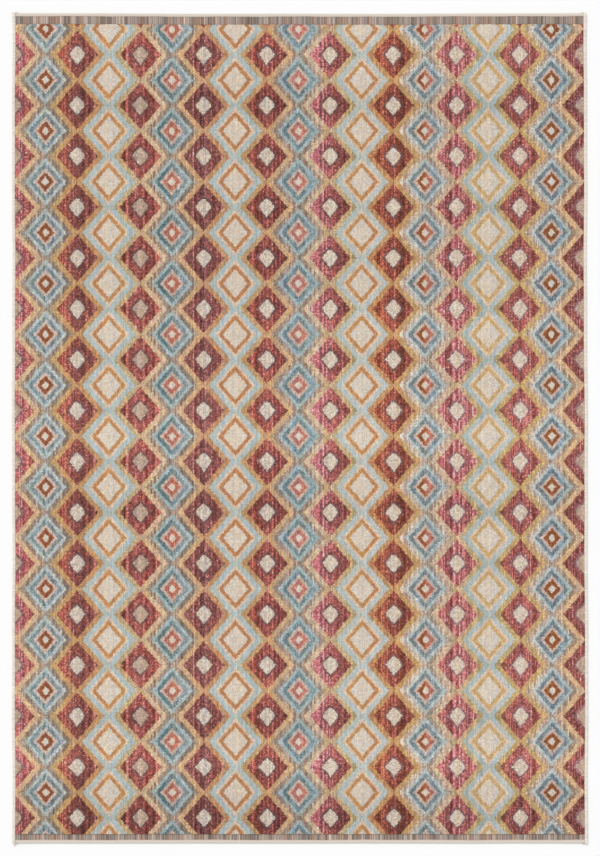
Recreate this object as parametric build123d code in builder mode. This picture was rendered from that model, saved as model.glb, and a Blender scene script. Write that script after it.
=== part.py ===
from build123d import *
import os
from math import ceil

# A woven area rug with columns of diamonds between zigzag bands, lying flat with its pile up.
# Millimetres. Z = 0 is the floor, X runs across the rug, Y along it with the head at +Y, and the origin
# is the middle of the underside. Each yarn colour of the pile is a node of its own.

# ---- overall sizes ----
rug_width = 1600.0
rug_length = 2310.0

# ---- layers, from the floor up ----
backing_thickness = 1.2
ground_thickness = 1.3
pile_height = 3.6
flat_end_thickness = 1.2

# ---- side edges: serging yarn wrapped round a cord and the selvedge ----
serging_width = 9.0
serging_height = 6.6
serging_corner_radius = 2.6
serging_overrun = 2.5
cord_radius = 1.8
cord_wall = 1.2
cord_height = 3.3
selvedge_depth = 2.6

# ---- ends: a strip woven flat, and a folded tape sewn over its edge ----
head_flat_width = 22.0
foot_flat_width = 16.0
binding_width = 9.0
tape_thickness = 1.0
tape_reach = 6.5
seam_inset = 1.8
seam_thread = 0.8

# ---- small trim ----
tack_width = 6.0
tack_thickness = 1.4
tack_height = 2.0
tack_floor_gap = 1.4
tail_radius = 1.6
tail_length = 8.0
tail_taper = 7.0
label_length = 50.0
label_width = 28.0
label_thickness = 0.4
label_inset = 60.0
label_recess = 0.8
label_stitch = 0.3
label_stitch_length = 20.0

# ---- clearances ----
fold_clearance = 0.1
cord_clearance = 0.1
layer_gap = 0.2
figure_gap = 0.1
label_gap = 2.0

# ---- the pattern's layout ----
column_pitch = 88.0
row_repeat = 141.6
zigzag_swing = 61.0
columns_shift = -3.0
first_row_below_pile_edge = 14.0

# ---- bands of the pattern, measured across the rug, level with the middle of the figure they surround ----
# A figure's reach is its half width. The inner figures have their own; the outer ones stop a tip gap short
# of joining the next figure along the column, and the grounds between fill what the columns leave.
seed_reach = 10.6
rust_reach = 24.0
ivory_ring_reach = 33.5
sky_ring_band = 10.8
sky_ring_tip_gap = 2.8
lozenge_middle_reach = 34.4
lozenge_rim_band = 10.1
lozenge_tip_gap = 3.6
eye_reach = 21.0
wine_tip_gap = 3.4
gold_band_by_medallions = 17.4
gold_band_by_lozenges = 17.5

# ---- derived places ----
half_repeat = row_repeat / 2
field_half_width = rug_width / 2 - serging_width
serging_middle = rug_width / 2 - serging_width / 2
cord_middle = rug_width / 2 - cord_wall - cord_radius
field_head = rug_length / 2 - binding_width - head_flat_width
field_foot = -rug_length / 2 + binding_width + foot_flat_width
field_length = field_head - field_foot
field_middle = (field_head + field_foot) / 2
first_row = field_head - first_row_below_pile_edge
ground_top = backing_thickness + ground_thickness
flat_end_top = ground_top + flat_end_thickness
inner_half_width = field_half_width - layer_gap
woven_half_length = rug_length / 2 - binding_width + tape_reach
binding_top = flat_end_top + fold_clearance + tape_thickness
binding_slot_bottom = backing_thickness - fold_clearance

wine_reach = zigzag_swing - wine_tip_gap
sky_ring_reach = zigzag_swing - sky_ring_tip_gap
slate_reach = sky_ring_reach - sky_ring_band
lozenge_reach = zigzag_swing - lozenge_tip_gap
amber_reach = lozenge_reach - lozenge_rim_band
reach_to_wine = column_pitch + zigzag_swing - wine_reach
taupe_reach = reach_to_wine - gold_band_by_medallions
sky_zigzag_reach = reach_to_wine - gold_band_by_lozenges

pile_plane = Plane.XY.offset(ground_top)
ground_plane = Plane.XY.offset(backing_thickness)

# ---- where the columns and rows of figures stand ----
column_span = ceil(field_half_width / column_pitch) + 1
column_numbers = range(-column_span, column_span + 1)
row_count = ceil(field_length / row_repeat) + 1


def column_x(number):
    """Middle of a column; column 0 is the medallion column nearest the rug's middle."""
    return columns_shift + number * column_pitch


def row_y(number):
    """Middle of a row of medallions and lozenges; the wine diamonds stand half a repeat below each."""
    return first_row - number * row_repeat


# Every fourth column is medallions and every fourth lozenges, with a wine column between each pair.
medallion_columns = [column_x(n) for n in column_numbers if n % 4 == 0]
lozenge_columns = [column_x(n) for n in column_numbers if n % 4 == 2]
wine_after_medallion = [column_x(n) for n in column_numbers if n % 4 == 1]
wine_before_medallion = [column_x(n) for n in column_numbers if n % 4 == 3]
wine_columns = wine_after_medallion + wine_before_medallion
figure_rows = [row_y(n) for n in range(-1, row_count + 1)]
wine_rows = [y - half_repeat for y in figure_rows]


def zigzag_strip(x, rows, left_reach, right_reach, mode):
    """Draw an endless figure: a strip that is widest on its rows and narrower by the swing between them."""
    right_edge = []
    left_edge = []
    for y in rows:
        right_edge += [(x + right_reach, y), (x + right_reach - zigzag_swing, y - half_repeat)]
        left_edge += [(x - left_reach, y), (x - left_reach + zigzag_swing, y - half_repeat)]
    Polygon(*right_edge, *reversed(left_edge), align=None, mode=mode)


def figures(columns, rows, reach, mode=Mode.ADD):
    """Draw every figure of one reach: separate diamonds, or endless strips where the reach joins them up."""
    if reach > zigzag_swing:
        for x in columns:
            zigzag_strip(x, rows, reach, reach, mode)
    else:
        half_length = reach * half_repeat / zigzag_swing
        with Locations(*[(x, y) for x in columns for y in rows]):
            Polygon((reach, 0), (0, half_length), (-reach, 0), (0, -half_length), align=None, mode=mode)


def ring(columns, rows, outer_reach, inner_reach):
    """Draw the band between two reaches, just clear of the band outside it."""
    figures(columns, rows, outer_reach - figure_gap)
    figures(columns, rows, inner_reach, mode=Mode.SUBTRACT)


def trim_to_field():
    """Cut what is drawn back to the part of the rug that has pile."""
    with Locations((0, field_middle)):
        Rectangle(2 * inner_half_width, field_length, mode=Mode.INTERSECT)


# ---- the sheet underneath: latex coat, then the ground weave that reaches into the edges ----
backing_half_length = rug_length / 2 - binding_width - layer_gap
label_middle_x = inner_half_width - label_inset - label_length / 2
label_middle_y = -backing_half_length + label_inset + label_width / 2

with BuildPart() as latex_backing:
    with BuildSketch():
        Rectangle(2 * inner_half_width, 2 * backing_half_length)
    extrude(amount=backing_thickness)
    with BuildSketch():
        with Locations((label_middle_x, label_middle_y)):
            Rectangle(label_length + label_gap, label_width + label_gap)
    extrude(amount=label_recess, mode=Mode.SUBTRACT)

with BuildPart() as ground_weave:
    with BuildSketch(ground_plane):
        Rectangle(2 * (field_half_width + selvedge_depth), 2 * woven_half_length)
    extrude(amount=ground_thickness)

# ---- the pile, one node for each yarn ----
with BuildPart() as pile_rust:
    with BuildSketch(pile_plane):
        ring(medallion_columns, figure_rows, rust_reach, seed_reach)
        trim_to_field()
    extrude(amount=pile_height)

with BuildPart() as pile_slate:
    with BuildSketch(pile_plane):
        ring(medallion_columns, figure_rows, slate_reach, ivory_ring_reach)
        trim_to_field()
    extrude(amount=pile_height)

with BuildPart() as pile_amber:
    with BuildSketch(pile_plane):
        ring(lozenge_columns, figure_rows, amber_reach, lozenge_middle_reach)
        trim_to_field()
    extrude(amount=pile_height)

with BuildPart() as pile_sky_rings:
    with BuildSketch(pile_plane):
        ring(medallion_columns, figure_rows, sky_ring_reach, slate_reach)
        trim_to_field()
    extrude(amount=pile_height)

with BuildPart() as pile_sky_zigzags:
    with BuildSketch(pile_plane):
        ring(lozenge_columns, figure_rows, sky_zigzag_reach, lozenge_reach)
        trim_to_field()
    extrude(amount=pile_height)

with BuildPart() as pile_taupe:
    with BuildSketch(pile_plane):
        ring(medallion_columns, figure_rows, taupe_reach, sky_ring_reach)
        trim_to_field()
    extrude(amount=pile_height)

with BuildPart() as pile_ivory:
    with BuildSketch(pile_plane):
        ring(medallion_columns, figure_rows, ivory_ring_reach, rust_reach)
        figures(medallion_columns, figure_rows, seed_reach - figure_gap)
        ring(lozenge_columns, figure_rows, lozenge_reach, amber_reach)
        figures(lozenge_columns, figure_rows, lozenge_middle_reach - figure_gap)
        figures(wine_columns, wine_rows, eye_reach - figure_gap)
        trim_to_field()
    extrude(amount=pile_height)

with BuildPart() as pile_wine:
    with BuildSketch(pile_plane):
        ring(wine_columns, wine_rows, wine_reach, eye_reach)
        trim_to_field()
    extrude(amount=pile_height)

# A gold lattice fills what is left between a wine column and the bands of its two neighbours.
gold_beside_medallion = column_pitch + zigzag_swing - taupe_reach - figure_gap
gold_beside_lozenge = column_pitch + zigzag_swing - sky_zigzag_reach - figure_gap

with BuildPart() as pile_gold:
    with BuildSketch(pile_plane):
        for x in wine_after_medallion:
            zigzag_strip(x, wine_rows, gold_beside_medallion, gold_beside_lozenge, Mode.ADD)
        for x in wine_before_medallion:
            zigzag_strip(x, wine_rows, gold_beside_lozenge, gold_beside_medallion, Mode.ADD)
        figures(wine_columns, wine_rows, wine_reach, mode=Mode.SUBTRACT)
        trim_to_field()
    extrude(amount=pile_height)

# ---- the flat woven ends ----
head_flat_depth = woven_half_length - field_head
foot_flat_depth = woven_half_length + field_foot

with BuildPart() as head_flat_end:
    with BuildSketch(pile_plane):
        with Locations((0, field_head + head_flat_depth / 2)):
            Rectangle(2 * inner_half_width, head_flat_depth)
    extrude(amount=flat_end_thickness)

with BuildPart() as foot_flat_end:
    with BuildSketch(pile_plane):
        with Locations((0, field_foot - foot_flat_depth / 2)):
            Rectangle(2 * inner_half_width, foot_flat_depth)
    extrude(amount=flat_end_thickness)

# ---- the serged sides ----
half_serging = rug_length / 2 + serging_overrun
slot_depth = selvedge_depth + fold_clearance


def serging_section(side):
    """Draw the wrapped yarn's section with room for the cord and the selvedge; side is -1 left, 1 right."""
    with Locations((side * serging_middle, serging_height / 2)):
        RectangleRounded(serging_width, serging_height, serging_corner_radius)
    with Locations((side * cord_middle, cord_height)):
        Circle(cord_radius + cord_clearance, mode=Mode.SUBTRACT)
    with Locations((side * (field_half_width + slot_depth / 2), backing_thickness + ground_thickness / 2)):
        Rectangle(slot_depth, ground_thickness + 2 * fold_clearance, mode=Mode.SUBTRACT)


with BuildPart() as left_serging:
    with BuildSketch(Plane.XZ):
        serging_section(-1)
    extrude(amount=half_serging, both=True)

with BuildPart() as right_serging:
    with BuildSketch(Plane.XZ):
        serging_section(1)
    extrude(amount=half_serging, both=True)

with BuildPart() as left_edge_cord:
    with BuildSketch(Plane.XZ):
        with Locations((-cord_middle, cord_height)):
            Circle(cord_radius)
    extrude(amount=half_serging, both=True)

with BuildPart() as right_edge_cord:
    with BuildSketch(Plane.XZ):
        with Locations((cord_middle, cord_height)):
            Circle(cord_radius)
    extrude(amount=half_serging, both=True)

# ---- the bound ends: a folded tape, and the thread that sews it down ----
binding_middle = rug_length / 2 - binding_width / 2
slot_middle = rug_length / 2 - (binding_width + tape_thickness) / 2
binding_slot_height = binding_top - tape_thickness - binding_slot_bottom
seam_middle = rug_length / 2 - binding_width + seam_inset


def binding_section(end):
    """Draw the folded tape's section, open towards the rug; end is 1 at the head, -1 at the foot."""
    with Locations((end * binding_middle, binding_top / 2)):
        Rectangle(binding_width, binding_top)
    with Locations((end * (slot_middle - tape_thickness), binding_slot_bottom + binding_slot_height / 2)):
        Rectangle(binding_width - tape_thickness, binding_slot_height, mode=Mode.SUBTRACT)


with BuildPart() as head_binding:
    with BuildSketch(Plane.YZ):
        binding_section(1)
    extrude(amount=inner_half_width, both=True)

with BuildPart() as foot_binding:
    with BuildSketch(Plane.YZ):
        binding_section(-1)
    extrude(amount=inner_half_width, both=True)

with BuildPart() as head_seam:
    with BuildSketch(Plane.YZ):
        with Locations((seam_middle, binding_top + seam_thread / 2)):
            Rectangle(seam_thread, seam_thread)
    extrude(amount=inner_half_width, both=True)

with BuildPart() as foot_seam:
    with BuildSketch(Plane.YZ):
        with Locations((-seam_middle, binding_top + seam_thread / 2)):
            Rectangle(seam_thread, seam_thread)
    extrude(amount=inner_half_width, both=True)

# ---- corners: closing stitches beside each serging's end, and the yarn's tail at the left foot corner ----
tack_x = field_half_width - tack_width / 2
tack_y = rug_length / 2 + tack_thickness / 2
tack_places = [(x, y) for x in (-tack_x, tack_x) for y in (-tack_y, tack_y)]

with BuildPart() as corner_tacks:
    with BuildSketch(Plane.XY.offset(tack_floor_gap)):
        with Locations(*tack_places):
            Rectangle(tack_width, tack_thickness)
    extrude(amount=tack_height)

with BuildPart() as serging_tail:
    with BuildSketch(Plane.XZ.offset(half_serging)):
        with Locations((-serging_middle, cord_height)):
            Circle(tail_radius)
    extrude(amount=tail_length, taper=tail_taper)

# ---- a blank label sewn under one foot corner, in a recess of the latex ----
label_bottom = label_recess - label_thickness
label_stitch_x = label_length / 2 - label_stitch

with BuildPart() as care_label:
    with BuildSketch(Plane.XY.offset(label_bottom)):
        with Locations((label_middle_x, label_middle_y)):
            Rectangle(label_length, label_width)
    extrude(amount=label_thickness)

with BuildPart() as label_stitches:
    with BuildSketch(Plane.XY.offset(label_bottom - label_stitch)):
        for side in (-1, 1):
            with Locations((label_middle_x + side * label_stitch_x, label_middle_y)):
                Rectangle(2 * label_stitch, label_stitch_length)
    extrude(amount=label_stitch)

# ---- labels and files ----
nodes = {
    "latex_backing": latex_backing,
    "ground_weave": ground_weave,
    "pile_ivory": pile_ivory,
    "pile_wine": pile_wine,
    "pile_gold": pile_gold,
    "pile_taupe": pile_taupe,
    "pile_sky_rings": pile_sky_rings,
    "pile_sky_zigzags": pile_sky_zigzags,
    "pile_slate": pile_slate,
    "pile_rust": pile_rust,
    "pile_amber": pile_amber,
    "head_flat_end": head_flat_end,
    "foot_flat_end": foot_flat_end,
    "left_edge_cord": left_edge_cord,
    "right_edge_cord": right_edge_cord,
    "left_serging": left_serging,
    "right_serging": right_serging,
    "head_binding": head_binding,
    "foot_binding": foot_binding,
    "head_seam": head_seam,
    "foot_seam": foot_seam,
    "corner_tacks": corner_tacks,
    "serging_tail": serging_tail,
    "care_label": care_label,
    "label_stitches": label_stitches,
}

os.makedirs("parts", exist_ok=True)
for node_name, builder in nodes.items():
    builder.part.label = node_name
    export_step(builder.part, f"parts/{node_name}.step")
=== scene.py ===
import logging
from dataclasses import dataclass, field
from enum import Enum, IntEnum
from math import pi, radians

import bpy
import numpy as np
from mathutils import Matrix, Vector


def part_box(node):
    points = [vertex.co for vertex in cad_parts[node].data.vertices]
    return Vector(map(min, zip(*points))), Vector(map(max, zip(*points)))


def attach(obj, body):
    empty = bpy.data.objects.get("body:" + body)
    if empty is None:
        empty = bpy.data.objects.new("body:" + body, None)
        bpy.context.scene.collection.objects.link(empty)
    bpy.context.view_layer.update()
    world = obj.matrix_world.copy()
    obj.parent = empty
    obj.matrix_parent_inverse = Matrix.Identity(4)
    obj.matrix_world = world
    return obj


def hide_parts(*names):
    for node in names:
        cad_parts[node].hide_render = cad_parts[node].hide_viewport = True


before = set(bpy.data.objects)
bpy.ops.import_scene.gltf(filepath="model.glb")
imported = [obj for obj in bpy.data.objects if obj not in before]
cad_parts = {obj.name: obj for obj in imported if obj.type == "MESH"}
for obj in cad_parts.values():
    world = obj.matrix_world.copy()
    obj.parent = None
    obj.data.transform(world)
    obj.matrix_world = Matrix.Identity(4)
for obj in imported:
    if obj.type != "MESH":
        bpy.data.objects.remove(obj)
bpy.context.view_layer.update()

# A woven area rug lying flat: columns of stepped diamonds, medallions and lozenges between zigzag bands.
# Metres, in the CAD frame: X across the rug, Y along it with the head at +Y, Z up from the floor.

log = logging.getLogger("rug")
Array = np.ndarray
Tree = bpy.types.NodeTree
Socket = bpy.types.NodeSocket
Material = bpy.types.Material
Piece = bpy.types.Object
MM = 0.001
SEED = 20260


# ---------------------------------------------------------------- colours


class Dye(Enum):
    """The dyed yarns in the weaver's store, as sRGB hex, named as a dyer would."""

    IVORY = "e6d7c6"
    BLUSH = "e4cdb8"
    SHELL = "d7bfb0"
    BONE = "cab09c"
    CREAM = "e5d1be"
    OXBLOOD = "8c4d41"
    MAROON = "935249"
    PLUM = "9f615b"
    MADDER = "aa5d50"
    BRICK = "ae6053"
    TERRACOTTA = "c26a4f"
    DUSTY_ROSE = "b56a60"
    RASPBERRY = "bc6c68"
    ROSE = "e5878c"
    LILAC = "9f6e74"
    DAMSON = "865a5a"
    SAND = "e5c2a6"
    STRAW = "e2b98e"
    AMBER = "c78f65"
    OCHRE = "c99e6f"
    OLIVE = "c6ab79"
    WHEAT = "d7b07a"
    MOCHA = "a58e7d"
    TAUPE = "a49283"
    FAWN = "b5a08e"
    CHALK = "d8beab"
    POWDER = "becac6"
    SKY = "b9c6c4"
    TEAL_MIST = "aabbba"
    DOVE = "cbcfc9"
    PETROL = "6a868b"
    STEEL = "8ea0a1"
    DENIM = "80939a"
    NAVY = "838a90"
    SILVER = "9ca2a3"
    MINK = "978276"
    ELEPHANT = "8c7c71"
    PEBBLE = "958880"
    MUSHROOM = "ae9e91"
    PARCHMENT = "bba699"
    CAMEL = "a38878"
    BISCUIT = "a9948b"
    RUST = "ab6649"
    SIENNA = "9b5c35"
    CLAY = "bd7564"
    SALMON = "cc8275"
    ORANGE = "ca8d5d"
    AMBER_GOLD = "cf9b62"
    SAFFRON = "d6b07a"
    SERGING = "f3e9dd"
    TAPE = "e0d5c9"
    THREAD = "cfc2b2"
    JUTE = "b9a183"
    LATEX = "d8d0bf"
    COTTON = "ddd5c6"
    SATIN = "eeece7"
    PAINT = "fcfcfc"


def linear(hexa: str) -> tuple[float, float, float]:
    """Turn an sRGB hex colour to linear light.

    Args:
        hexa: six hex digits.

    Returns:
        Red, green and blue from 0 to 1.
    """
    parts = np.array([int(hexa[i:i + 2], 16) for i in (0, 2, 4)]) / 255
    light = np.where(parts <= 0.04045, parts / 12.92, ((parts + 0.055) / 1.055) ** 2.4)
    return tuple(float(v) for v in light)


# ---------------------------------------------------------------- nodes and materials

# The range that nearly all values of a noise texture lie in.
NOISE_SPAN = (0.3, 0.7)


def add_node(
    tree: Tree,
    kind: str,
    settings: dict[str, object] | None = None,
    values: dict[str | int, object] | None = None,
    links: dict[str | int, Socket] | None = None,
) -> bpy.types.Node:
    """Add one shader node.

    Args:
        tree: the node tree it goes into.
        kind: the node's type name.
        settings: attributes of the node itself.
        values: fixed values of its input sockets, by name or number.
        links: the output socket that feeds each input, by name or number.

    Returns:
        The node.
    """
    node = tree.nodes.new(kind)
    for name, value in (settings or {}).items():
        setattr(node, name, value)
    for name, value in (values or {}).items():
        node.inputs[name].default_value = value
    for name, socket in (links or {}).items():
        tree.links.new(socket, node.inputs[name])
    return node


def add_math(tree: Tree, operation: str, *terms: float | Socket, clamp: bool = False) -> Socket:
    """Add one step of arithmetic.

    Args:
        tree: the node tree it goes into.
        operation: the step's name.
        terms: what it works on, in order: fixed numbers and output sockets.
        clamp: whether the result is held from 0 to 1.

    Returns:
        The result.
    """
    values = {n: term for n, term in enumerate(terms) if isinstance(term, float)}
    links = {n: term for n, term in enumerate(terms) if n not in values}
    settings = {"operation": operation, "use_clamp": clamp}
    return add_node(tree, "ShaderNodeMath", settings, values, links).outputs["Value"]


def add_noise(tree: Tree, place: Socket, grain: float, detail: float, roughness: float) -> bpy.types.Node:
    """Add a noise texture.

    Args:
        tree: the node tree it goes into.
        place: the coordinates that it is read at.
        grain: the size of its coarsest grains, in metres.
        detail: how many finer layers it has.
        roughness: how strong the finer layers are.

    Returns:
        The node.
    """
    values = {"Scale": 1 / grain, "Detail": detail, "Roughness": roughness}
    return add_node(tree, "ShaderNodeTexNoise", values=values, links={"Vector": place})


def add_bands(tree: Tree, place: Socket, way: str, spacing_mm: float, distortion: float) -> Socket:
    """Add a row of rounded bands.

    Args:
        tree: the node tree it goes into.
        place: the coordinates that they are read at.
        way: the axis along which they follow each other, X or Y.
        spacing_mm: from one band to the next.
        distortion: how unevenly they run.

    Returns:
        Their height, from 0 to 1.
    """
    bands = add_node(
        tree,
        "ShaderNodeTexWave",
        settings={"wave_type": "BANDS", "bands_direction": way, "wave_profile": "SIN"},
        values={"Scale": 2 * pi / (20 * spacing_mm * MM), "Distortion": distortion, "Detail": 1.0},
        links={"Vector": place},
    )
    return bands.outputs["Fac"]


def add_range(tree: Tree, amount: Socket, span: tuple[float, float], result: tuple[float, float]) -> Socket:
    """Stretch one range of amounts over another, and hold what lies outside at its ends.

    Args:
        tree: the node tree it goes into.
        amount: the amount.
        span: the range that it comes in.
        result: the range that it leaves in.

    Returns:
        The stretched amount.
    """
    values = dict(zip(("From Min", "From Max", "To Min", "To Max"), (*span, *result)))
    return add_node(tree, "ShaderNodeMapRange", values=values, links={"Value": amount}).outputs["Result"]


def add_shade(tree: Tree, colour: Socket, factor: Socket) -> Socket:
    """Multiply a colour's brightness.

    Args:
        tree: the node tree it goes into.
        colour: the colour.
        factor: what it is multiplied by.

    Returns:
        The shaded colour.
    """
    links = {0: colour, "Scale": factor}
    return add_node(tree, "ShaderNodeVectorMath", {"operation": "SCALE"}, links=links).outputs["Vector"]


@dataclass(frozen=True)
class Finish:
    """What every finish here has: a matt textile or coating with uneven colour and one fine relief."""

    name: str
    dye: Dye
    roughness: float
    sheen: float
    grain_mm: float
    grain_depth_mm: float
    colour_spread: float

    def relief(self, tree: Tree, place: Socket) -> Socket:
        """Give the height of the finish's own texture at a place, from 0 to about 1.

        Args:
            tree: the material's node tree.
            place: the Object coordinates.

        Returns:
            The height socket.
        """
        return add_noise(tree, place, self.grain_mm * MM, 2.0, 0.6).outputs["Fac"]

    def colour(self, tree: Tree, place: Socket) -> Socket:
        """Give the colour at a place: the dye, a little lighter and darker in blotches.

        Args:
            tree: the material's node tree.
            place: the Object coordinates.

        Returns:
            The colour socket.
        """
        base = add_node(tree, "ShaderNodeRGB").outputs[0]
        base.default_value = (*linear(self.dye.value), 1.0)
        return self.varied(tree, place, base)

    def varied(self, tree: Tree, place: Socket, base: Socket) -> Socket:
        """Vary a base colour's brightness, as uneven dye uptake and stray fibres do.

        Args:
            tree: the material's node tree.
            place: the Object coordinates.
            base: the colour to vary.

        Returns:
            The colour socket.
        """
        blotch = add_noise(tree, place, 2.5 * self.grain_mm * MM, 3.0, 0.65).outputs["Fac"]
        limits = (1 - self.colour_spread, 1 + self.colour_spread)
        return add_shade(tree, base, add_range(tree, blotch, NOISE_SPAN, limits))

    def build(self) -> Material:
        """Make the material.

        Returns:
            A Principled material with this finish's colour and relief.
        """
        material = bpy.data.materials.new(self.name)
        material.use_nodes = True
        tree = material.node_tree
        tree.nodes.clear()
        place = add_node(tree, "ShaderNodeTexCoord").outputs["Object"]
        bump = add_node(
            tree,
            "ShaderNodeBump",
            values={"Strength": 1.0, "Distance": self.grain_depth_mm * MM},
            links={"Height": self.relief(tree, place)},
        )
        shader = add_node(
            tree,
            "ShaderNodeBsdfPrincipled",
            values={
                "Roughness": self.roughness,
                "Sheen Weight": self.sheen,
                "Sheen Roughness": 0.5,
                "Specular IOR Level": 0.2,
            },
            links={"Base Color": self.colour(tree, place), "Normal": bump.outputs["Normal"]},
        )
        add_node(tree, "ShaderNodeOutputMaterial", links={"Surface": shader.outputs["BSDF"]})
        return material


@dataclass(frozen=True)
class DyedYarn(Finish):
    """Yarn whose dye, and on the serging painted shade, the mesh carries warp by warp and tuft by tuft: dry,
    fibrous and faintly fuzzy.
    """

    ribs_mm: float = 3.0
    rib_height: float = 0.45
    drawn: tuple[float, float, float] = (1.0, 0.45, 1.0)

    def colour(self, tree: Tree, place: Socket) -> Socket:
        """Give the mesh's colour, the yarn's own dye with painted shade on the serging, heathered by its fibres.

        Args:
            tree: the material's node tree.
            place: the Object coordinates.

        Returns:
            The colour socket.
        """
        dye = add_node(tree, "ShaderNodeAttribute", settings={"attribute_name": "dye"})
        return self.varied(tree, place, dye.outputs["Color"])

    def relief(self, tree: Tree, place: Socket) -> Socket:
        """Give the height of fibres drawn out along the warp, over the dip between neighbouring picks.

        Args:
            tree: the material's node tree.
            place: the Object coordinates.

        Returns:
            The height socket.
        """
        drawn = add_node(tree, "ShaderNodeMapping", values={"Scale": self.drawn}, links={"Vector": place})
        fibres = add_noise(tree, drawn.outputs["Vector"], self.grain_mm * MM, 3.0, 0.7).outputs["Fac"]
        picks = add_bands(tree, place, "Y", self.ribs_mm, 0.6)
        return add_math(tree, "MULTIPLY_ADD", picks, self.rib_height, fibres)


@dataclass(frozen=True)
class CutPile(DyedYarn):
    """Cut tufts seen from above: each a rounded bundle of fibre ends, with painted shade in the gaps between
    bundles.
    """

    # The share by which painted shade darkens the colour in the gaps between tufts.
    gap_shade: float = 0.24
    fibre_mm: float = 0.45
    fibre_height: float = 0.5
    bend: float = 0.8
    bend_mm: float = 1.1
    fall_power: float = 3.0

    def tuft(self, tree: Tree, place: Socket) -> Socket:
        """Give the roundness of a tuft from its own map: 1 over its middle, 0 at the gap round it.

        Each side falls off as a power of the distance from the middle, and noise bends the outline.

        Args:
            tree: the material's node tree.
            place: the Object coordinates.

        Returns:
            The roundness socket.
        """
        bend = add_noise(tree, place, self.bend_mm * MM, 1.0, 0.5)
        bends = add_node(tree, "ShaderNodeSeparateXYZ", links={"Vector": bend.outputs["Color"]})
        spot = add_node(tree, "ShaderNodeUVMap", settings={"uv_map": "tuft"})
        parts = add_node(tree, "ShaderNodeSeparateXYZ", links={"Vector": spot.outputs["UV"]})
        sides = []
        for axis in ("X", "Y"):
            middle = add_math(tree, "MULTIPLY_ADD", bends.outputs[axis], self.bend, -1 - self.bend / 2)
            offset = add_math(tree, "MULTIPLY_ADD", parts.outputs[axis], 2.0, middle)
            away = add_math(tree, "ABSOLUTE", offset)
            fall = add_math(tree, "POWER", away, self.fall_power)
            sides.append(add_math(tree, "SUBTRACT", 1.0, fall, clamp=True))
        return add_math(tree, "MULTIPLY", *sides)

    def fibres(self, tree: Tree, place: Socket) -> Socket:
        """Give the speckle of fibre ends, drawn some four times coarser than real so that it holds up.

        Args:
            tree: the material's node tree.
            place: the Object coordinates.

        Returns:
            The speckle socket, from 0 to 1.
        """
        return add_noise(tree, place, self.fibre_mm * MM, 2.0, 0.7).outputs["Fac"]

    def colour(self, tree: Tree, place: Socket) -> Socket:
        """Give the mesh's colour, the yarn's own dye with painted shade on the edge walls, speckled by fibre
        ends and darkened by painted shade in the gaps between tufts.

        Args:
            tree: the material's node tree.
            place: the Object coordinates.

        Returns:
            The colour socket.
        """
        dye = add_node(tree, "ShaderNodeAttribute", settings={"attribute_name": "dye"})
        # Painted shade: the dye darkens from the middle of each tuft towards the gap round it.
        light = add_range(tree, self.tuft(tree, place), (0.0, 1.0), (1 - self.gap_shade, 1.0))
        limits = (1 - 2 * self.colour_spread, 1 + 2 * self.colour_spread)
        speckle = add_range(tree, self.fibres(tree, place), NOISE_SPAN, limits)
        return add_shade(tree, dye.outputs["Color"], add_math(tree, "MULTIPLY", light, speckle))

    def relief(self, tree: Tree, place: Socket) -> Socket:
        """Give the height of the rounded tufts with the unevenness of their fibre ends on top.

        Args:
            tree: the material's node tree.
            place: the Object coordinates.

        Returns:
            The height socket.
        """
        fibres = self.fibres(tree, place)
        return add_math(tree, "MULTIPLY_ADD", fibres, self.fibre_height, self.tuft(tree, place))


@dataclass(frozen=True)
class WovenCloth(Finish):
    """Plain-woven cloth of one dye: crossing threads show as a fine grid that catches the light softly."""

    thread_mm: float = 1.0

    def relief(self, tree: Tree, place: Socket) -> Socket:
        """Give the height of the crossing threads: two sets of bands, the higher of the two on top.

        Args:
            tree: the material's node tree.
            place: the Object coordinates.

        Returns:
            The height socket.
        """
        return add_math(tree, "MAXIMUM", *(add_bands(tree, place, way, self.thread_mm, 0.4) for way in "XY"))


# Wool-like heat-set yarn, cut short: no gloss, soft bloom at grazing angles, colour broken up by its fibres.
PILE_YARN = CutPile("cut_pile_yarn", Dye.IVORY, 0.95, 0.08, 0.9, 0.45, 0.07)
# The same yarn woven flat: tighter and smoother, with cross ribs.
FLAT_YARN = DyedYarn("flat_woven_yarn", Dye.TAUPE, 0.9, 0.06, 0.8, 0.3, 0.08, 1.6)
# Bulky polyester edging yarn, wound tight: light and slightly silky, with real relief and painted shade between
# its turns.
SERGING_YARN = DyedYarn("serging_yarn", Dye.SERGING, 0.8, 0.15, 0.5, 0.15, 0.04, 1.2)
# Cotton twill tape, pressed flat.
BINDING_TAPE = WovenCloth("cotton_tape", Dye.TAPE, 0.88, 0.1, 0.9, 0.18, 0.035, 0.9)
# Bonded polyester sewing thread.
SEWING_THREAD = Finish("sewing_thread", Dye.THREAD, 0.6, 0.1, 0.3, 0.05, 0.04)
# Jute weft and cotton chain seen from below or at a cut edge: coarse, hairy, dull.
GROUND_CLOTH = WovenCloth("jute_ground_cloth", Dye.JUTE, 0.95, 0.05, 1.2, 0.4, 0.1, 3.0)
# Thin latex coat over the ribs of the weave: rubbery and slightly glossy on the high spots.
LATEX_COAT = WovenCloth("latex_coat", Dye.LATEX, 0.6, 0.0, 2.5, 0.35, 0.06, 3.1)
# Spun cotton cord inside the edge.
COTTON_CORD = Finish("cotton_cord", Dye.COTTON, 0.9, 0.1, 0.8, 0.3, 0.05)
# Blank woven satin label.
SATIN_LABEL = WovenCloth("satin_label", Dye.SATIN, 0.4, 0.2, 1.0, 0.06, 0.01, 0.5)
# Painted studio floor, near white.
PALE_FLOOR = Finish("pale_floor", Dye.PAINT, 0.9, 0.0, 40.0, 0.02, 0.003)


# ---------------------------------------------------------------- the rug's settling on the floor


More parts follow.
